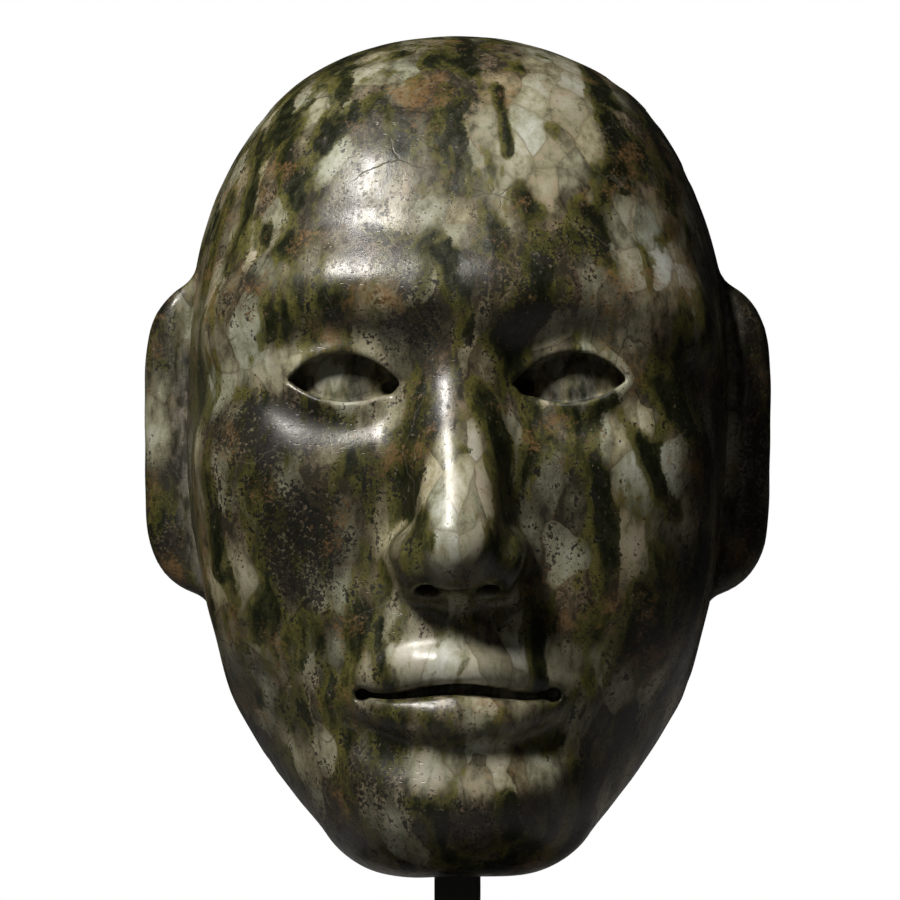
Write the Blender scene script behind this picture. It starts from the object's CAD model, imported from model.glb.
"""The greenstone mask and its black stand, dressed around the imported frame.

Units are metres, +Z is up, and the face looks along -Y. The mask's own form is worked out in its own frame,
whose origin is the middle of its flat back rim.
"""

import math

import bpy
import numpy as np
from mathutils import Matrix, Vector


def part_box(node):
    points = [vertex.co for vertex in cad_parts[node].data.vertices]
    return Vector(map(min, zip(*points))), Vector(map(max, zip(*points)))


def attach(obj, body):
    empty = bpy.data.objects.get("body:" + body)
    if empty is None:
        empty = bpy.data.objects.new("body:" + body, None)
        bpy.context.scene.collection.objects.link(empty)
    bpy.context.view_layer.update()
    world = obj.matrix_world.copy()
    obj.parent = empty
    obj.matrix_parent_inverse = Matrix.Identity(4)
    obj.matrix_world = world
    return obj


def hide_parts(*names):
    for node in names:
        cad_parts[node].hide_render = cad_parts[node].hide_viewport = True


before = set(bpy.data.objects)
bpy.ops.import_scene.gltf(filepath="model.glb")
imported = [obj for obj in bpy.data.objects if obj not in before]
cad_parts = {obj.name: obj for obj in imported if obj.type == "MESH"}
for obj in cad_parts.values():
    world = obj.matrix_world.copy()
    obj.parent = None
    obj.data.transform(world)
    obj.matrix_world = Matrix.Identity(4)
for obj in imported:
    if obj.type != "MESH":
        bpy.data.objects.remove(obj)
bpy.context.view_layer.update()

# Mask, overall
MASK_HEIGHT = 0.170
FACE_WIDTH = 0.112
MASK_WIDTH = 0.1275
FACE_DEPTH = 0.058
RIM_WIDTH = 0.012
FRONT_WALL = 0.022
RIM_ROUNDING = 0.0025

# Ear flanges
EAR_LENGTH = 0.071
EAR_THICKNESS = 0.013
EAR_SETBACK = 0.002
EAR_RISE = 0.0034
EAR_ROUNDING = 0.0035
EAR_CHANNEL = 0.0014
EAR_FILLET = 0.002
CHANNEL_EDGE = 0.001

# The face's canon: three equal thirds high and five eyes wide
CANON_WIDTH, CANON_DEPTH, CANON_HEIGHT = 112.0, 58.0, 170.0
THIRD = CANON_HEIGHT / 3
EYE = CANON_WIDTH / 5
BROW_Z = THIRD / 2
EYE_Z = BROW_Z - THIRD / 4
NOSE_Z = -THIRD / 2
MOUTH_Z = NOSE_Z - THIRD / 3
CHIN_Z = -CANON_HEIGHT / 2

# Fineness of the mask's mesh: fine over the features, coarser round the edges
FINE_STEP = 0.00072
COARSE_STEP = 0.0015
FINE_HALF_WIDTH = 0.037
FINE_LOW, FINE_HIGH = -0.063, 0.030
FINE_DEPTH = 0.034

# Flakes lost from the rim: angle round the mask from +X in degrees, radius of the scar and its depth.
# Each scar runs forward from the rim along the side of the head.
RIM_CHIPS = [
    (66, 0.0060, 0.0006),
    (59, 0.0036, 0.0007),
    (49, 0.0052, 0.0006),
    (121, 0.0055, 0.0004),
    (-44, 0.0050, 0.0006),
    (-122, 0.0056, 0.0006),
    (-133, 0.0034, 0.0007),
]
CHIP_STRETCH = 5
CHIP_EDGE = 0.0003

# Markings in the stone, in millimetres right of the mask's middle and above it.
# Each vein is a line of points with a half width.
VEINS = [
    ([(0, 84), (2, 76), (-2, 66), (-1, 58)], 2.6),
    ([(-25, 80), (-23, 70), (-27, 62)], 2.8),
    ([(-35, 70), (-36, 60), (-33, 50)], 1.9),
    ([(-41, 61), (-42, 50), (-39, 42)], 1.8),
    ([(26, 80), (30, 67), (33, 53)], 1.9),
    ([(8, 73), (10, 60)], 1.3),
    ([(39, 72), (41, 58), (43, 44)], 2.0),
    ([(-4, 46), (-1, 34), (1, 24)], 2.2),
    ([(13, 50), (17, 40), (14, 29), (7, 22)], 3.0),
    ([(25, 48), (31, 36)], 1.8),
    ([(3, 14), (7, 2), (9, -12), (5, -24)], 1.9),
    ([(-4, 10), (-8, -4), (-10, -12)], 1.6),
    ([(20, 12), (27, -4), (29, -18), (37, -31)], 2.1),
    ([(30, 11), (37, 0), (43, -12)], 1.7),
    ([(38, 14), (47, 3), (50, -8)], 1.8),
    ([(-16, -34), (-15, -47)], 1.7),
    ([(15, -31), (16, -47)], 1.6),
    ([(-6, -71), (-2, -84)], 2.4),
    ([(9, -68), (10, -84)], 1.9),
    ([(27, -64), (21, -80)], 2.2),
]
# The dark core of a vein lies this far to the right of its middle.
CORE_SHIFT = 1.1
# Each patch is a centre, two half sizes and a strength.
PALE_PATCHES = [
    ((17, 65), (16, 20), 1.0),
    ((-27, 64), (5, 9), 0.4),
    ((0, -6), (8, 17), 0.9),
    ((36, -6), (13, 16), 0.6),
    ((4, -41), (24, 6), 0.7),
    ((4, -63), (16, 6), 0.8),
    ((-61, 7), (5, 11), 0.9),
    ((-34, 17), (13, 5), 0.6),
    ((39, 43), (9, 14), 0.6),
]
DARK_PATCHES = [
    ((-31, -19), (9, 13), 1.0),
    ((-35, 5), (17, 6), 0.9),
    ((-9, 28), (7, 9), 0.7),
    ((-44, 34), (6, 9), 0.7),
    ((-42, -52), (12, 12), 0.5),
    ((47, 6), (8, 16), 0.4),
    ((61, 4), (5, 36), 0.8),
    ((-61, 33), (5, 9), 0.8),
    ((-60, -24), (5, 11), 0.7),
    ((-24, -68), (13, 10), 0.4),
    ((-14, 56), (10, 11), 0.3),
]
BROWN_PATCHES = [
    ((-8, 73), (9, 5), 0.9),
    ((27, 78), (10, 4), 0.5),
    ((43, 51), (6, 8), 1.0),
    ((40, 34), (10, 8), 0.6),
    ((-47, 30), (6, 8), 0.5),
    ((-40, -40), (12, 16), 0.6),
    ((12, -33), (13, 3), 0.5),
    ((-50, -18), (5, 10), 0.5),
    ((-58, -24), (4, 6), 0.6),
]
# What the mask's mesh stores at each point, for the stone's material
MARKINGS = ("vein", "core", "pale", "dark", "brown", "dull")

# Stone. Colours are linear, and where two are given the first is the darker one.
# The tones run from the darkest matrix to the palest crystals.
STONE_TONES = [
    (0.22, (0.034, 0.028, 0.017)),
    (0.36, (0.088, 0.074, 0.042)),
    (0.48, (0.170, 0.150, 0.090)),
    (0.60, (0.290, 0.265, 0.160)),
    (0.76, (0.430, 0.400, 0.285)),
    (0.95, (0.580, 0.555, 0.450)),
]
CRYSTALS_PER_METRE = 150
CRYSTAL_LEAN = math.radians(-13)
BLUSH = (0.300, 0.205, 0.125)
COOL_TINT = (0.88, 1.00, 1.16)
SEAM_BROWN = (0.110, 0.080, 0.045)
OLIVE = (0.028, 0.030, 0.008), (0.118, 0.112, 0.024)
VEIN_CORE = (0.0065, 0.0085, 0.0035), (0.034, 0.038, 0.013)
GRANULAR = (0.0082, 0.0078, 0.0060), (0.120, 0.104, 0.070)
RUST = (0.215, 0.128, 0.052)
DEEP_RUST = (0.040, 0.020, 0.009)
CRACK = (0.030, 0.020, 0.010)
HEALED_CRACK = (0.420, 0.410, 0.330)
PIT = (0.018, 0.014, 0.009)
CHALK = (0.330, 0.310, 0.250)
POLISH = 0.31
JADE_IOR = 1.54
JADE_SPECULAR = 0.38
JADE_RELIEF = 0.00007

# Paint of the stand: name, tone and roughness
PAINTS = {
    "stand_post": ("black_paint", 0.008, 0.42),
    "stand_base": ("black_base", 0.010, 0.40),
}
PAINT_RELIEF = 0.00002

# Floor and world
FLOOR_RADIUS = 0.60
FLOOR_SIDES = 96
FLOOR_DROP = 0.0002
FLOOR_AS_REFLECTOR = (0.36, 0.355, 0.35)
FLOOR_TO_CAMERA = (0.62, 0.61, 0.60)
SOFT_WHITE = (1.0, 0.98, 0.95)
WORLD_STRENGTH = 0.012

# Lights: name, place from the mask's middle, size, watts, colour, spread in degrees, and whether the mask
# reflects them. The key's narrow spread keeps it off the floor, whose bounce would grey the dark stone.
SOFTBOXES = [
    ("key", (-0.24, -0.33, 0.46), (0.15, 0.18), 0.50, (1.0, 0.955, 0.905), 55, True),
    ("fill", (-0.30, -1.20, 0.10), (0.60, 0.60), 0.22, SOFT_WHITE, 180, True),
    ("back", (0.0, 0.80, 0.12), (0.50, 0.40), 1.20, SOFT_WHITE, 110, False),
]

# Camera. The picture is in pixels, and one pixel spans PIXEL metres at the ears.
LENS, SENSOR = 300.0, 36.0
PICTURE = 900
PIXEL = 0.000204
MASK_MIDDLE_PIXEL = (457.5, 453.5)


# Solid forms. Each gives a distance: below zero inside the form, above zero outside it.


def ellipsoid(p, centre, radii):
    scaled = [(a - c) / r for a, c, r in zip(p, centre, radii)]
    near = np.sqrt(sum(s * s for s in scaled))
    steep = np.sqrt(sum((s / r) ** 2 for s, r in zip(scaled, radii)))
    return near * (near - 1) / np.maximum(steep, 1e-9)


def cone(p, start, end, start_radius, end_radius):
    """A bar with round ends that tapers from one radius to the other."""
    along = [b - a for a, b in zip(start, end)]
    length = sum(d * d for d in along)
    share = sum((q - a) * d for q, a, d in zip(p, start, along)) / length
    share = np.clip(share, 0, 1)
    gap = sum((q - a - share * d) ** 2 for q, a, d in zip(p, start, along))
    return np.sqrt(gap) - start_radius - share * (end_radius - start_radius)


def chain(p, points, radii):
    """Tapered bars joined end to end."""
    bars = zip(points, points[1:], radii, radii[1:])
    return np.minimum.reduce([cone(p, *bar) for bar in bars])


def bow(start, middle, end, count=6):
    """Points along the curve that leaves start towards middle and arrives at end."""
    shares = [n / count for n in range(count + 1)]
    return [
        tuple((1 - t) ** 2 * a + 2 * t * (1 - t) * b + t * t * c for a, b, c in zip(start, middle, end))
        for t in shares
    ]


def even_steps(first, last, count=7):
    return [first + (last - first) * n / (count - 1) for n in range(count)]


def add(form, other, soft):
    """Both forms, with a fillet of about that size where they meet."""
    near = np.maximum(soft - np.abs(form - other), 0) / soft
    return np.minimum(form, other) - near * near * soft / 4


def cut(form, other, soft):
    """The first form with the second cut out of it."""
    return -add(-form, other, soft)


def both(form, other, soft):
    """What the two forms share."""
    return -add(-form, -other, soft)


def ease(low, high, value):
    share = np.clip((value - low) / (high - low), 0, 1)
    return share * share * (3 - 2 * share)


# The face, in canon units. x is mirrored, so each side form is written once.


def head(p):
    """The egg-shaped front of the head, widest at the temples and narrower towards the chin."""
    x, y, z = p
    middle, power = 6.0, 2.45
    rise = np.where(z > middle, (z - middle) / (CANON_HEIGHT / 2 - middle), (middle - z) / (middle - CHIN_Z))
    taper = 1 - 0.17 * ease(5, 80, -z)
    wide = np.abs(x) / (CANON_WIDTH / 2 * taper)
    deep = np.abs(y) / CANON_DEPTH
    return 50 * ((wide**power + deep**power + np.abs(rise) ** power) ** (1 / power) - 1)


def brow(p, form):
    ridge = bow((0, -50.5, BROW_Z + 1), (25, -53.5, BROW_Z + 7), (43, -36, BROW_Z - 4))
    return add(form, chain(p, ridge, even_steps(6.2, 5.5)), 12)


def cheek(p, form):
    bone = ellipsoid(p, (31, -36.5, -4), (17, 14, 15))
    fullness = ellipsoid(p, (29, -32, -28), (18, 15, 20))
    return add(add(form, bone, 14), fullness, 14)


def muzzle_and_chin(p, form):
    jaw = cone(p, (14, -36, CHIN_Z + 16.5), (31, -17, CHIN_Z + 41), 13, 11)
    muzzle = ellipsoid(p, (0, -37, MOUTH_Z + 2), (27, 24, 25))
    chin = ellipsoid(p, (0, -45, CHIN_Z + 17.5), (20, 17, 15))
    fold_line = bow((0, -66.5, MOUTH_Z - 13.5), (11, -66.5, MOUTH_Z - 13.5), (20, -58, MOUTH_Z - 9))
    form = add(form, jaw, 14)
    form = add(form, muzzle, 14)
    form = add(form, chin, 12)
    return cut(form, chain(p, fold_line, even_steps(4.6, 3.0)), 7)


def socket(p, form):
    hollow = ellipsoid(p, (EYE + 0.5, -64, EYE_Z + 1), (16.5, 13, 11))
    root = ellipsoid(p, (0, -68, EYE_Z + 3), (12, 10.5, 9))
    return cut(cut(form, hollow, 9), root, 8)


def almond(x, z, width, upper, lower):
    """Distance to an eye outline seen from the front: two arcs that meet in its corners."""
    half = width / 2

    def arc(rise, side):
        radius = (half * half + rise * rise) / (2 * rise)
        return np.hypot(x, z + side * (radius - rise)) - radius

    return np.maximum(arc(upper, 1), arc(lower, -1))


def eye_outline(p):
    x, y, z = p
    across, up = x - EYE, z - EYE_Z - 0.04 * (x - EYE)
    return almond(across, up, EYE, 5.9, 4.2)


def eye(p, form):
    """A full lid over the eyeball, with an almond cut back to the eye's own surface."""
    x, y, z = p
    outline = eye_outline(p)
    lid = ellipsoid(p, (EYE, -38.5, EYE_Z), (16, 15.5, 13))
    form = add(form, lid, 5)
    rim = both(np.abs(outline - 0.8) - 1.2, lid - 0.8, 1.2)
    form = add(form, rim, 2)
    ball = ellipsoid(p, (EYE, -36.5, EYE_Z - 0.8), (15, 13.0, 13))
    opening = both(both(outline, -ball, 0.8), y + 42, 1.2)
    form = cut(form, opening, 0.9)
    inner = EYE / 2 + 2.6
    drill = cone(p, (inner, -58, EYE_Z - 1.0), (inner, -45, EYE_Z - 1.0), 1.8, 1.3)
    return cut(form, drill, 0.8)


def nose(p, form):
    bridge = cone(p, (0, -49.5, EYE_Z + 5), (0, -66.5, NOSE_Z + 11), 5.8, 8.6)
    wing = ellipsoid(p, (8.2, -60, NOSE_Z + 6.8), (6.2, 9.0, 6.6))
    septum = cone(p, (0, -66.5, NOSE_Z + 4.5), (0, -57, NOSE_Z + 1), 3.6, 3.6)
    nostril = cone(p, (6.2, -69, NOSE_Z - 3), (5.8, -60, NOSE_Z + 6), 2.5, 2.2)
    form = add(form, bridge, 9)
    form = add(form, wing, 3.5)
    form = add(form, septum, 3.5)
    return cut(form, nostril, 1.0)


def smile_line(p, form):
    line = bow((15.5, -61.5, NOSE_Z + 4), (22, -61.0, NOSE_Z - 4), (26, -56, MOUTH_Z + 4))
    return cut(form, chain(p, line, even_steps(2.2, 2.6)), 6)


def mouth(p, form):
    """Closed lips with a narrow cut between them that ends in a drilled hollow at each corner."""
    x, y, z = p
    upper_line = bow((0, -59.6, MOUTH_Z + 4.6), (11, -60.6, MOUTH_Z + 6.6), (20.5, -51.5, MOUTH_Z + 0.8))
    lower_line = bow((0, -58.9, MOUTH_Z - 4.9), (12, -59.4, MOUTH_Z - 5.6), (20, -51.0, MOUTH_Z - 1.0))
    upper = chain(p, upper_line, even_steps(5.2, 2.4))
    lower = chain(p, lower_line, even_steps(5.5, 2.4))
    philtrum = cone(p, (0, -66.5, NOSE_Z - 2), (0, -68.2, NOSE_Z - 10), 2.5, 2.9)
    form = cut(form, philtrum, 4)
    form = add(form, upper, 2.2)
    form = add(form, lower, 2.2)
    seam = MOUTH_Z + 0.9 * np.cos(np.clip(x / 5.2, 0, math.pi)) + 0.6 * ease(12, 20, x)
    open_by = 0.85 - 0.25 * ease(4, 16, x)
    depth = ellipsoid(p, (0, -36, MOUTH_Z), (26, 21.5, 24))
    gap = both(np.abs(z - seam) - open_by, both(x - 19.5, -depth, 1.0), 0.6)
    form = cut(form, gap, 1.3)
    corner = cone(p, (19.2, -62, MOUTH_Z - 0.4), (18.8, -50, MOUTH_Z - 0.4), 1.6, 1.2)
    return cut(form, corner, 1.0)


def canon_place(x, y, z):
    """A place on the mask in canon units, with x mirrored."""
    return np.abs(x) * CANON_WIDTH / FACE_WIDTH, y * CANON_DEPTH / FACE_DEPTH, z * CANON_HEIGHT / MASK_HEIGHT


def face(x, y, z):
    """The carved front of the mask, in metres."""
    p = canon_place(x, y, z)
    form = head(p)
    for carve in (brow, cheek, muzzle_and_chin, socket, nose, eye, smile_line, mouth):
        form = carve(p, form)
    return form * min(FACE_WIDTH / CANON_WIDTH, FACE_DEPTH / CANON_DEPTH, MASK_HEIGHT / CANON_HEIGHT)


# The rest of the mask, in metres


def superellipse(across, up, half_width, half_height, power):
    reach = (np.abs(across / half_width) ** power + np.abs(up / half_height) ** power) ** (1 / power)
    return (reach - 1) * min(half_width, half_height)


def ears(x, y, z):
    """A long flange on each side, set back from the face."""
    plan = superellipse(x, z - EAR_RISE, MASK_WIDTH / 2, EAR_LENGTH / 2, 5)
    slab = np.abs(y + EAR_SETBACK + EAR_THICKNESS / 2) - EAR_THICKNESS / 2
    return both(plan, slab, EAR_ROUNDING)


def ear_channel(x, y, z):
    """The groove that parts each flange from the face."""
    front = -EAR_SETBACK - EAR_THICKNESS
    top, bottom = EAR_RISE + EAR_LENGTH / 2, EAR_RISE - EAR_LENGTH / 2
    edge = FACE_WIDTH / 2
    line = bow((edge - 0.0025, front, top), (edge + 0.0045, front, EAR_RISE), (edge - 0.0065, front, bottom))
    return chain((np.abs(x), y, z), line, even_steps(EAR_CHANNEL, EAR_CHANNEL))


def hollow(x, y, z):
    """The bowl in the back."""
    half_width = FACE_WIDTH / 2 - RIM_WIDTH
    depth = FACE_DEPTH - FRONT_WALL
    half_height = MASK_HEIGHT / 2 - RIM_WIDTH
    narrowing = 1 - 0.12 * ease(0, half_height, -z)
    power = 2.3
    wide = np.abs(x) / (half_width * narrowing)
    reach = (wide**power + np.abs(y / depth) ** power + np.abs(z / half_height) ** power) ** (1 / power)
    return (reach - 1) * depth


def hand_wobble(x, y, z):
    """The slight unevenness of a surface ground and polished by hand."""
    broad = np.sin(150 * x + 1.3) * np.sin(128 * z + 0.4) + np.sin(97 * x - 111 * z + 2.1)
    close = np.sin(410 * x + 240 * z) * np.sin(356 * z - 190 * x + 300 * y + 0.7)
    return 0.00013 * broad + 0.00004 * close


def plain_form(x, y, z):
    form = add(face(x, y, z), ears(x, y, z), EAR_FILLET)
    form = cut(form, ear_channel(x, y, z), CHANNEL_EDGE)
    form = both(form, y, RIM_ROUNDING)
    return cut(form, hollow(x, y, z), RIM_ROUNDING)


def rim_reach(angle, depth):
    """How far out the mask's edge lies at an angle round its middle."""
    low, high = 0.0, 0.1
    for _ in range(30):
        middle = (low + high) / 2
        spot = (middle * math.cos(angle), -depth, middle * math.sin(angle))
        inside = add(face(*spot), ears(*spot), EAR_FILLET) < 0
        low, high = (middle, high) if inside else (low, middle)
    return low


def chip_places():
    places = []
    for degrees, radius, depth in RIM_CHIPS:
        angle = math.radians(degrees)
        reach = rim_reach(angle, RIM_ROUNDING) + radius - depth
        places.append((reach * math.cos(angle), reach * math.sin(angle), radius))
    return places


CHIPS = chip_places()


def mask_form(x, y, z):
    """The whole mask, with the middle of its flat back rim at the origin."""
    form = plain_form(x, y, z) + hand_wobble(x, y, z)
    for across, up, radius in CHIPS:
        scar = np.sqrt((x - across) ** 2 + (y / CHIP_STRETCH) ** 2 + (z - up) ** 2) - radius
        form = cut(form, scar, CHIP_EDGE)
    return form


# Meshing


def fill_pinches(field, step, most_rounds=12):
    """Fills each grid square with the form at two opposite corners only, where the skin would meet itself."""
    for _ in range(most_rounds):
        found = False
        for sides in ((0, 1), (1, 2), (2, 0)):
            turned = np.moveaxis(field, sides, (0, 1))
            corners = turned[:-1, :-1], turned[1:, :-1], turned[1:, 1:], turned[:-1, 1:]
            inside = [corner < 0 for corner in corners]
            pinched = (inside[0] == inside[2]) & (inside[1] == inside[3]) & (inside[0] != inside[1])
            found = found or pinched.any()
            for corner in corners:
                corner[pinched & (corner >= 0)] = -step / 4
        if not found:
            return


def stations(low, high, fine_low, fine_high):
    """Grid lines along one axis, closer together between the fine limits."""
    margin = 3 * COARSE_STEP
    before = np.arange(fine_low - COARSE_STEP, low - margin, -COARSE_STEP)[::-1]
    within = np.arange(fine_low, fine_high, FINE_STEP)
    after = np.arange(fine_high, high + margin, COARSE_STEP)
    return np.concatenate([before, within, after])


def surface(form, axes):
    """Points and four-cornered faces of a form's skin: one point in each grid cell that the skin crosses."""
    x, y = axes[0][:, None], axes[1][None, :]
    field = np.stack([form(x, y, z) + 0 * x * y for z in axes[2]], axis=2)
    fill_pinches(field, FINE_STEP)
    total = np.zeros((field.size, 3))
    hits = np.zeros(field.size)
    faces = []
    for axis in range(3):
        here = [slice(None)] * 3
        there = [slice(None)] * 3
        here[axis], there[axis] = slice(None, -1), slice(1, None)
        first, second = field[tuple(here)], field[tuple(there)]
        crossed = np.argwhere((first < 0) != (second < 0))
        start = first[tuple(crossed.T)]
        share = start / (start - second[tuple(crossed.T)])
        point = np.stack([axes[k][crossed[:, k]] for k in range(3)], axis=1)
        point[:, axis] += share * np.diff(axes[axis])[crossed[:, axis]]
        side, other = (axis + 1) % 3, (axis + 2) % 3
        corners = []
        for back_side, back_other in ((0, 0), (1, 0), (1, 1), (0, 1)):
            cell = crossed.copy()
            cell[:, side] -= back_side
            cell[:, other] -= back_other
            number = np.ravel_multi_index(cell.T, field.shape)
            hits += np.bincount(number, minlength=field.size)
            for k in range(3):
                total[:, k] += np.bincount(number, point[:, k], field.size)
            corners.append(number)
        quads = np.stack(corners, axis=1)
        quads[start >= 0] = quads[start >= 0][:, ::-1]
        faces.append(quads)
    used, faces = np.unique(np.concatenate(faces), return_inverse=True)
    return total[used] / hits[used][:, None], faces.reshape(-1, 4)


def settled(points, form, rounds=4):
    """The points moved along the form's slope until they lie on its skin."""
    probe = FINE_STEP / 20
    longest_move = 0.4 * FINE_STEP
    least_steepness = 0.05
    for _ in range(rounds):
        value = form(*points.T)
        ahead = [form(*(points + d).T) for d in np.eye(3) * probe]
        behind = [form(*(points - d).T) for d in np.eye(3) * probe]
        slope = (np.stack(ahead, axis=1) - np.stack(behind, axis=1)) / (2 * probe)
        steepness = np.maximum((slope**2).sum(axis=1), least_steepness)
        move = -(value / steepness)[:, None] * slope
        far = np.linalg.norm(move, axis=1)
        points = points + move * np.minimum(1, longest_move / np.maximum(far, 1e-12))[:, None]
    return points


# Markings


def vein_strength(x, z):
    """1 along the middle of a vein, falling to 0 at its edge."""
    strength = np.zeros(x.shape)
    for points, half_width in VEINS:
        for start, end in zip(points, points[1:]):
            gap = cone((x, z), start, end, 0, 0)
            strength = np.maximum(strength, 1.25 * (1 - ease(0, 1.7 * half_width, gap)))
    return strength


def patch_strength(x, z, patches):
    strength = np.zeros(x.shape)
    for (cx, cz), (half_width, half_height), most in patches:
        away = np.hypot((x - cx) / half_width, (z - cz) / half_height)
        strength = np.maximum(strength, most * (1 - ease(0.45, 1.25, away)))
    return strength


def dullness(points):
    """1 where the polish never reached: in the eyes, nostrils, mouth, ear grooves and the hollow back."""
    x, y, z = points.T
    p = canon_place(x, y, z)
    in_eye = (1 - ease(-0.4, 0.5, eye_outline(p))) * ease(40, 43, -p[1])
    slit = (1 - ease(0.8, 2.0, np.abs(p[2] - MOUTH_Z))) * (1 - ease(19, 22, p[0]))
    slit = slit * (1 - ease(57.5, 60, -p[1])) * ease(30, 40, -p[1])
    channel = 1 - ease(0, 0.0012, ear_channel(x, y, z))
    inside = 1 - ease(0.0, 0.0015, hollow(x, y, z))
    return np.maximum.reduce([in_eye, slit, channel, inside])


def store(mesh, name, values):
    layer = mesh.attributes.new(name, "FLOAT", "POINT")
    layer.data.foreach_set("value", np.ascontiguousarray(values, dtype=np.float32))


def make_mask(jade):
    """The mask at its finest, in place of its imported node."""
    low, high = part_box("mask")
    place = np.array([0.0, high[1], (low[2] + high[2]) / 2])
    front = -1.4 * FACE_DEPTH
    axes = [
        stations(-MASK_WIDTH / 2, MASK_WIDTH / 2, -FINE_HALF_WIDTH, FINE_HALF_WIDTH),
        stations(front, 0, front, -FINE_DEPTH),
        stations(-MASK_HEIGHT / 2, MASK_HEIGHT / 2, FINE_LOW, FINE_HIGH),
    ]
    points, faces = surface(mask_form, axes)
    points = settled(points, mask_form)
    mesh = bpy.data.meshes.new("jade_mask")
    mesh.from_pydata((points + place).tolist(), [], faces.tolist())
    mesh.shade_smooth()
    across, up = points[:, 0] * 1000, points[:, 2] * 1000
    veins = vein_strength(across, up)
    cores = vein_strength(across - CORE_SHIFT, up)
    pale = patch_strength(across, up, PALE_PATCHES) * (1 - veins)
    dark = patch_strength(across, up, DARK_PATCHES)
    brown = patch_strength(across, up, BROWN_PATCHES)
    for name, values in zip(MARKINGS, (veins, cores, pale, dark, brown, dullness(points))):
        store(mesh, name, values)
    mesh.materials.append(jade)
    mask = bpy.data.objects.new("jade_mask", mesh)
    bpy.context.scene.collection.objects.link(mask)
    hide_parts("mask")
    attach(mask, "root")


# Materials


class Sheet:
    """A material's node sheet, with short ways to add and join nodes."""

    def __init__(self, name):
        self.material = bpy.data.materials.new(name)
        self.material.use_nodes = True
        self.tree = self.material.node_tree
        self.shader = self.tree.nodes["Principled BSDF"]
        self.place = self.node("ShaderNodeTexCoord").outputs["Object"]

    def node(self, kind, **settings):
        made = self.tree.nodes.new(kind)
        for key, value in settings.items():
            setattr(made, key, value)
        return made

    def feed(self, socket, value):
        if isinstance(value, bpy.types.NodeSocket):
            self.tree.links.new(value, socket)
        else:
            socket.default_value = value

    def shade(self, name, value):
        """Sets one of the shader's own inputs."""
        self.feed(self.shader.inputs[name], value)

    def times(self, first, second):
        made = self.node("ShaderNodeMath", operation="MULTIPLY")
        self.feed(made.inputs[0], first)
        self.feed(made.inputs[1], second)
        return made.outputs[0]

    def plus(self, start, *parts):
        """The start value plus each part times its weight."""
        total = start
        for value, weight in parts:
            made = self.node("ShaderNodeMath", operation="MULTIPLY_ADD")
            self.feed(made.inputs[0], value)
            self.feed(made.inputs[1], weight)
            self.feed(made.inputs[2], total)
            total = made.outputs[0]
        return total

    def attribute(self, name):
        return self.node("ShaderNodeAttribute", attribute_name=name).outputs["Fac"]

    def stretched(self, vector, scale, turn=(0, 0, 0)):
        made = self.node("ShaderNodeMapping")
        self.feed(made.inputs["Vector"], vector)
        made.inputs["Scale"].default_value = scale
        made.inputs["Rotation"].default_value = turn
        return made.outputs[0]

    def shifted(self, vector, offset):
        made = self.node("ShaderNodeVectorMath", operation="ADD")
        self.feed(made.inputs[0], vector)
        self.feed(made.inputs[1], offset)
        return made.outputs[0]

    def noise(self, vector, scale, detail=4.0, roughness=0.55, output="Fac"):
        made = self.node("ShaderNodeTexNoise")
        self.feed(made.inputs["Vector"], vector)
        made.inputs["Scale"].default_value = scale
        made.inputs["Detail"].default_value = detail
        made.inputs["Roughness"].default_value = roughness
        return made.outputs[output]

    def centred_noise(self, vector, scale, detail, roughness):
        """Noise that goes as far below zero as above it."""
        return self.plus(-0.5, (self.noise(vector, scale, detail, roughness), 1.0))

    def cells(self, vector, scale, feature="F1"):
        made = self.node("ShaderNodeTexVoronoi", feature=feature)
        self.feed(made.inputs["Vector"], vector)
        made.inputs["Scale"].default_value = scale
        return made.outputs["Distance"]

    def warped(self, vector, scale, amount):
        """The place moved about by noise, so that edges wander."""
        centred = self.shifted(self.noise(vector, scale, 3.0, 0.5, "Color"), (-0.5, -0.5, -0.5))
        sized = self.node("ShaderNodeVectorMath", operation="SCALE")
        self.feed(sized.inputs[0], centred)
        sized.inputs["Scale"].default_value = amount
        return self.shifted(vector, sized.outputs[0])

    def between(self, value, low, high):
        """0 below low, 1 above high and smooth between them. With low above high it falls instead."""
        made = self.node("ShaderNodeMapRange", interpolation_type="SMOOTHSTEP")
        self.feed(made.inputs["Value"], value)
        made.inputs["From Min"].default_value = low
        made.inputs["From Max"].default_value = high
        return made.outputs["Result"]

    def ramp(self, value, stops):
        made = self.node("ShaderNodeValToRGB")
        self.feed(made.inputs[0], value)
        band = made.color_ramp
        while len(band.elements) < len(stops):
            band.elements.new(0.5)
        for element, (position, colour) in zip(band.elements, stops):
            element.position = position
            element.color = (*colour, 1)
        return made.outputs["Color"]

    def mix(self, share, first, second, blend="MIX"):
        made = self.node("ShaderNodeMix", data_type="RGBA", blend_type=blend)
        self.feed(made.inputs["Factor"], share)
        for socket, value in ((made.inputs[6], first), (made.inputs[7], second)):
            self.feed(socket, value if isinstance(value, bpy.types.NodeSocket) else (*value, 1))
        return made.outputs[2]

    def stain(self, stone, where, strength, colour):
        """The stone with a colour over part of it, at most as strong as given."""
        return self.mix(self.times(where, strength), stone, colour)

    def bump(self, height, distance):
        made = self.node("ShaderNodeBump")
        made.inputs["Strength"].default_value = 1.0
        made.inputs["Distance"].default_value = distance
        self.feed(made.inputs["Height"], height)
        return made.outputs["Normal"]


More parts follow.
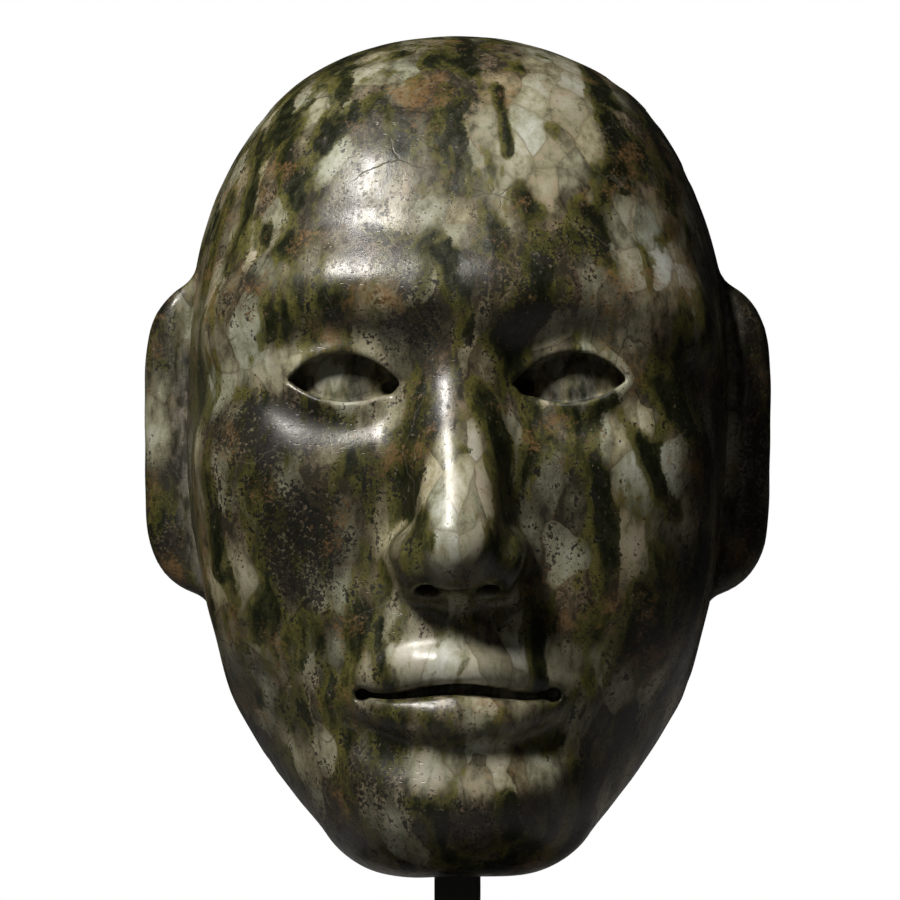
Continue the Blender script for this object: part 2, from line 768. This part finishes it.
class Patterns:
    """The patterns and placed markings that several of the stone's layers share."""

    def __init__(self, s):
        wandering = s.warped(s.place, 60, 0.009)
        self.cloud = s.noise(wandering, 34, 3.0, 0.55)
        self.fray = s.centred_noise(s.stretched(s.place, (1, 1, 0.5)), 460, 4.0, 0.62)
        self.speckle = s.centred_noise(s.place, 1300, 2.0, 0.75)
        self.leaning = s.stretched(wandering, (1, 0.8, 0.5), (0, CRYSTAL_LEAN, 0))
        self.crystal = s.cells(self.leaning, CRYSTALS_PER_METRE)
        for name in MARKINGS:
            setattr(self, name, s.attribute(name))


def crystals(s, p):
    """Cloudy crystal patches, from blue-grey through grey-green to cream, with brown seams between them."""
    random = s.node("ShaderNodeSeparateColor")
    s.feed(random.inputs[0], p.crystal.node.outputs["Color"])
    shade, warmth, coolness = random.outputs
    tone = s.plus(-0.13, (p.cloud, 1.05), (shade, 0.32), (p.fray, 0.80), (p.speckle, 0.20))
    tone = s.plus(tone, (p.crystal, -0.34), (p.pale, 0.34), (p.dark, -0.22))
    stone = s.ramp(tone, STONE_TONES)
    blush = s.times(s.between(warmth, 0.4, 0.9), s.between(p.fray, -0.05, 0.12))
    stone = s.stain(stone, blush, 0.45, BLUSH)
    stone = s.mix(coolness, stone, COOL_TINT, "MULTIPLY")
    seam = s.between(s.cells(p.leaning, CRYSTALS_PER_METRE, "DISTANCE_TO_EDGE"), 0.05, 0.0)
    seam = s.times(seam, s.between(p.fray, -0.10, 0.10))
    return s.stain(stone, seam, 0.55, SEAM_BROWN)


def with_veins(s, p, stone):
    """Olive veins, mostly upright, with granular near-black cores a little to the right of their middles."""

    def upright(place):
        return s.noise(s.stretched(place, (1, 1, 0.55)), 200, 2.0, 0.5)

    shared = s.plus(-0.02, (p.pale, -0.20), (p.cloud, -0.16), (p.fray, 0.40), (p.crystal, 0.20))
    grain = s.plus(p.fray, (p.speckle, 0.55))
    vein = s.plus(shared, (upright(p.leaning), 1.0), (p.vein, 0.15), (p.speckle, 0.14))
    olive = s.mix(s.between(grain, -0.16, 0.16), *OLIVE)
    stone = s.stain(stone, s.between(vein, 0.445, 0.56), 0.90, olive)
    beside = upright(s.shifted(p.leaning, (-CORE_SHIFT / 1000, 0, 0)))
    core = s.plus(shared, (beside, 1.0), (p.core, 0.15), (p.speckle, 0.30))
    dark_green = s.mix(s.between(grain, -0.05, 0.20), *VEIN_CORE)
    return s.stain(stone, s.between(core, 0.56, 0.65), 0.96, dark_green)


def black_areas(s, p):
    """Where the stone is black: dark grains that thin out towards the pale patches."""
    black = s.plus(0.0, (p.dark, 0.26), (p.pale, -0.32), (p.cloud, -0.80), (p.fray, 1.10), (p.speckle, 1.20))
    return s.between(black, -0.36, -0.18)


def jade_material():
    s = Sheet("jade")
    p = Patterns(s)
    stone = with_veins(s, p, crystals(s, p))

    black = black_areas(s, p)
    pale_grain = s.between(s.noise(s.place, 1000, 3.0, 0.7), 0.56, 0.68)
    stone = s.stain(stone, black, 0.94, s.mix(pale_grain, *GRANULAR))

    rust = s.plus(s.noise(s.place, 75, 5.0, 0.68), (p.brown, 0.12), (p.speckle, 0.40))
    stone = s.stain(stone, s.between(rust, 0.56, 0.72), 0.62, RUST)
    stone = s.stain(stone, s.between(rust, 0.70, 0.80), 0.80, DEEP_RUST)

    hairline = s.between(s.cells(s.warped(s.place, 130, 0.005), 36, "DISTANCE_TO_EDGE"), 0.006, 0.001)
    crack = s.times(hairline, s.between(p.cloud, 0.55, 0.62))
    healed = s.times(hairline, s.between(p.cloud, 0.50, 0.43))
    stone = s.stain(stone, crack, 0.70, CRACK)
    stone = s.stain(stone, healed, 0.08, HEALED_CRACK)

    pit_spot = s.between(s.cells(s.stretched(s.place, (0.5, 1, 1.5), (0, 0.4, 0)), 900), 0.24, 0.08)
    pit = s.times(pit_spot, s.between(rust, 0.54, 0.66))
    stone = s.stain(stone, pit, 0.80, PIT)

    chalky = s.times(p.dull, s.between(p.fray, -0.12, 0.14))
    stone = s.stain(stone, chalky, 0.35, CHALK)
    s.shade("Base Color", stone)

    roughness = s.plus(POLISH, (p.fray, 0.34), (black, 0.08), (crack, 0.25), (pit, 0.2), (p.dull, 0.40))
    s.shade("Roughness", roughness)
    s.shade("IOR", JADE_IOR)
    s.shade("Specular IOR Level", JADE_SPECULAR)

    scratches = s.noise(s.stretched(s.place, (1, 1, 0.3), (0, 0.9, 0)), 2400, 3.0, 0.7)
    height = s.plus(0.0, (p.speckle, 0.30), (scratches, 0.30), (pit_spot, -0.4), (crack, -0.4))
    s.shade("Normal", s.bump(height, JADE_RELIEF))
    return s.material


def black_paint(name, tone, roughness):
    """Satin black paint: a faint orange-peel, dust and rubbed patches."""
    s = Sheet(name)
    clean = (tone, tone * 0.94, tone * 0.94)
    dusty = (tone * 2.2, tone * 2.1, tone * 2.0)
    dust = s.between(s.noise(s.place, 60, 5.0, 0.65), 0.45, 0.75)
    s.shade("Base Color", s.mix(s.times(dust, 0.35), clean, dusty))
    s.shade("Roughness", s.plus(roughness - 0.1, (s.noise(s.place, 220, 4.0, 0.6), 0.20)))
    s.shade("Normal", s.bump(s.noise(s.place, 1400, 2.0, 0.5), PAINT_RELIEF))
    return s.material


# Stage


def floor_paint():
    """Pale to the camera, and darker as a reflector, so that it lights the mask's underside only a little."""
    s = Sheet("pale_floor")
    s.shade("Base Color", (*FLOOR_AS_REFLECTOR, 1))
    s.shade("Roughness", 0.8)
    glow = s.node("ShaderNodeEmission")
    glow.inputs["Color"].default_value = (*FLOOR_TO_CAMERA, 1)
    camera_ray = s.node("ShaderNodeLightPath").outputs["Is Camera Ray"]
    choose = s.node("ShaderNodeMixShader")
    s.feed(choose.inputs[0], s.times(camera_ray, 0.5))
    s.feed(choose.inputs[1], s.shader.outputs[0])
    s.feed(choose.inputs[2], glow.outputs[0])
    s.feed(s.tree.nodes["Material Output"].inputs["Surface"], choose.outputs[0])
    return s.material


def make_floor():
    """A round pale floor, small enough to stay under the front view."""
    angles = [math.tau * n / FLOOR_SIDES for n in range(FLOOR_SIDES)]
    ring = [(FLOOR_RADIUS * math.cos(angle), FLOOR_RADIUS * math.sin(angle), 0) for angle in angles]
    mesh = bpy.data.meshes.new("floor")
    mesh.from_pydata(ring, [], [list(range(FLOOR_SIDES))])
    mesh.materials.append(floor_paint())
    floor = bpy.data.objects.new("floor", mesh)
    floor.location.z = -FLOOR_DROP
    bpy.context.scene.collection.objects.link(floor)


def make_world():
    """White to the camera, and dim as a light, so that the shaded side stays deep."""
    world = bpy.data.worlds.new("studio")
    bpy.context.scene.world = world
    world.use_nodes = True
    nodes, links = world.node_tree.nodes, world.node_tree.links
    seen = nodes["Background"]
    seen.inputs[0].default_value = (1, 1, 1, 1)
    seen.inputs[1].default_value = 1.0
    lighting = nodes.new("ShaderNodeBackground")
    lighting.inputs[0].default_value = (*SOFT_WHITE, 1)
    lighting.inputs[1].default_value = WORLD_STRENGTH
    ray = nodes.new("ShaderNodeLightPath")
    choose = nodes.new("ShaderNodeMixShader")
    links.new(ray.outputs["Is Camera Ray"], choose.inputs[0])
    links.new(lighting.outputs[0], choose.inputs[1])
    links.new(seen.outputs[0], choose.inputs[2])
    links.new(choose.outputs[0], nodes["World Output"].inputs[0])


def make_lights(middle):
    """Round softboxes that aim at the mask's middle."""
    for name, offset, size, power, colour, spread, in_reflections in SOFTBOXES:
        data = bpy.data.lights.new(name, "AREA")
        data.shape = "ELLIPSE"
        data.size, data.size_y = size
        data.energy = power
        data.color = colour
        data.spread = math.radians(spread)
        lamp = bpy.data.objects.new(name, data)
        lamp.location = middle + Vector(offset)
        lamp.rotation_mode = "QUATERNION"
        lamp.rotation_quaternion = (-Vector(offset)).to_track_quat("-Z", "Y")
        lamp.visible_glossy = in_reflections
        bpy.context.scene.collection.objects.link(lamp)


def make_camera(mask_box):
    """Level with the mask's middle, with the frame set where the photograph's is."""
    low, high = mask_box
    ear_depth = high[1] - EAR_SETBACK - EAR_THICKNESS / 2
    column, row = MASK_MIDDLE_PIXEL
    aside = (column - PICTURE / 2) * PIXEL
    above = (row - PICTURE / 2) * PIXEL
    data = bpy.data.cameras.new("camera")
    data.lens, data.sensor_width = LENS, SENSOR
    camera = bpy.data.objects.new("camera", data)
    distance = PICTURE * PIXEL * LENS / SENSOR
    camera.location = (-aside, ear_depth - distance, (low[2] + high[2]) / 2 + above)
    camera.rotation_euler = (math.radians(90), 0, 0)
    bpy.context.scene.collection.objects.link(camera)
    bpy.context.scene.camera = camera


def main():
    mask_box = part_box("mask")
    low, high = mask_box
    make_camera(mask_box)
    make_mask(jade_material())
    for name, (paint_name, tone, roughness) in PAINTS.items():
        paint = black_paint(paint_name, tone, roughness)
        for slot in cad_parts[name].material_slots:
            slot.material = paint
    make_floor()
    make_world()
    make_lights((Vector(low) + Vector(high)) / 2)
    bpy.context.scene.view_settings.view_transform = "Standard"


main()
